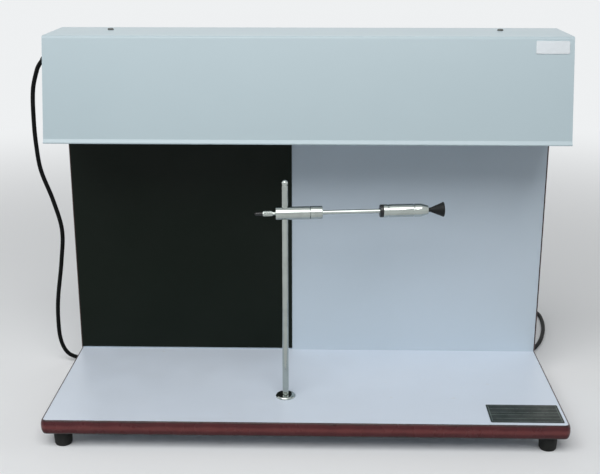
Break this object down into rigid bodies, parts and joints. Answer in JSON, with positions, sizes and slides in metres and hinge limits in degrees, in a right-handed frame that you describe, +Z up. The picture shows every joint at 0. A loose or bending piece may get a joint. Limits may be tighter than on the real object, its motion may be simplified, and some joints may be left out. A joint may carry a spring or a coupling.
{
  "type": "ampoule_clarity_tester",
  "caption": "Table-top ampoule clarity tester: black and white viewing panels under a lamp hood, with a swivelling chromed post and a sliding arm that ends in a free-turning rubber ampoule cup",
  "frame": {"origin": "on the table under the middle of the object's box, without the free mains lead", "axes": "X to the right along the boards, Y from the open front to the back, Z up"},
  "size_m": [0.7712, 0.5281, 0.5053],
  "materials": {
    "white_board": "smooth white laminate on board, slightly bluish",
    "maroon_edging": "glossy maroon plastic edging with a fine lengthwise grain",
    "foot_rubber": "dull black moulded rubber",
    "zinc_screws": "zinc plated steel",
    "black_plate": "black engraved plate with pale rules",
    "badge_metal": "printed aluminium badge, blank",
    "black_facing": "dull black laminate sheet",
    "white_steel": "white enamelled steel sheet with a slight bluish cast",
    "chromed": "bright chrome plating",
    "grip_plastic": "black turned plastic",
    "cup_rubber": "soft black rubber",
    "holder_plastic": "white moulded plastic",
    "starter_can": "white moulded plastic can",
    "choke_steel": "black varnished laminated steel",
    "lamp_glass": "milky powder-coated lamp glass",
    "lamp_cap_metal": "drawn aluminium caps with brass-coloured pins",
    "switch_plastic": "black moulded plastic",
    "cable_black": "black flexible PVC sheath",
    "blade_brass": "bare brass blades"
  },
  "bodies": {
    "cabinet": {"base_board": "white_board", "base_edging": "maroon_edging", "rubber_feet": "foot_rubber", "foot_screws": "zinc_screws", "rating_plate": "black_plate", "post_bush": "chromed", "bush_washer": "zinc_screws", "bush_nut": "zinc_screws", "upright_board": "white_board", "upright_edging": "maroon_edging", "black_sheet": "black_facing", "board_screws": "zinc_screws", "hood_shell": "white_steel", "hood_end_left": "white_steel", "hood_end_right": "white_steel", "hood_badge": "badge_metal", "hood_top_screws": "zinc_screws", "hood_rear_screws": "zinc_screws", "gear_tray": "white_steel", "tray_brackets": "zinc_screws", "gear_screws": "zinc_screws", "lampholders": "holder_plastic", "chokes": "choke_steel", "starter_sockets": "holder_plastic", "starters": "starter_can", "terminal_block": "holder_plastic", "switch_case": "switch_plastic", "cable_gland": "cable_black", "gland_nut": "cable_black", "power_cord": "cable_black", "cord_coil": "cable_black", "cord_tail": "cable_black", "cord_tie": "cable_black", "mains_plug": "cable_black", "plug_blades": "blade_brass"},
    "front_tube": {"front_lamp": "lamp_glass", "front_lamp_caps": "lamp_cap_metal"},
    "rear_tube": {"rear_lamp": "lamp_glass", "rear_lamp_caps": "lamp_cap_metal"},
    "rocker": {"switch_rocker": "switch_plastic"},
    "standard": {"post": "chromed", "post_clip": "zinc_screws"},
    "boss": {"cross_boss": "chromed"},
    "boss_lock": {"lock_screw": "chromed", "lock_grip": "grip_plastic"},
    "nut": {"collet_nut": "chromed"},
    "arm": {"arm_rod": "chromed", "chuck_collar": "grip_plastic", "chuck_ring": "zinc_screws"},
    "chuck": {"chuck_sleeve": "chromed", "rubber_cup": "cup_rubber"}
  },
  "joints": [
    {"name": "post_swivel", "type": "hinge", "parent": "cabinet", "child": "standard", "pos_m": [-0.026, -0.04945, 0], "axis": [0, 0, 1], "range_deg": [-226, 33]},
    {"name": "boss_lift", "type": "slide", "parent": "standard", "child": "boss", "axis": [0, 0, 1], "range_m": [-0.235, 0.024]},
    {"name": "lock_screw_turn", "type": "hinge", "parent": "boss", "child": "boss_lock", "pos_m": [-0.026, -0.04945, 0.291], "axis": [0.9936, 0.1132, 0], "range_deg": [0, 360]},
    {"name": "collet_nut_turn", "type": "hinge", "parent": "boss", "child": "nut", "pos_m": [-0.026, -0.04945, 0.291], "axis": [0.9936, 0.1132, 0], "range_deg": [0, 180]},
    {"name": "arm_slide", "type": "slide", "parent": "boss", "child": "arm", "axis": [0.9936, 0.1132, 0], "range_m": [-0.008, 0.02]},
    {"name": "chuck_spin", "type": "hinge", "parent": "arm", "child": "chuck", "pos_m": [-0.026, -0.04945, 0.291], "axis": [0.9936, 0.1132, 0], "continuous": true},
    {"name": "rocker_tilt", "type": "hinge", "parent": "cabinet", "child": "rocker", "pos_m": [0.335, 0.06705, 0.4655], "axis": [0, 1, 0], "range_deg": [0, 20]},
    {"name": "front_tube_turn", "type": "hinge", "parent": "cabinet", "child": "front_tube", "pos_m": [0, 0.02905, 0.4145], "axis": [1, 0, 0], "range_deg": [0, 90]},
    {"name": "rear_tube_turn", "type": "hinge", "parent": "cabinet", "child": "rear_tube", "pos_m": [0, 0.07705, 0.4145], "axis": [1, 0, 0], "range_deg": [0, 90]}
  ]
}
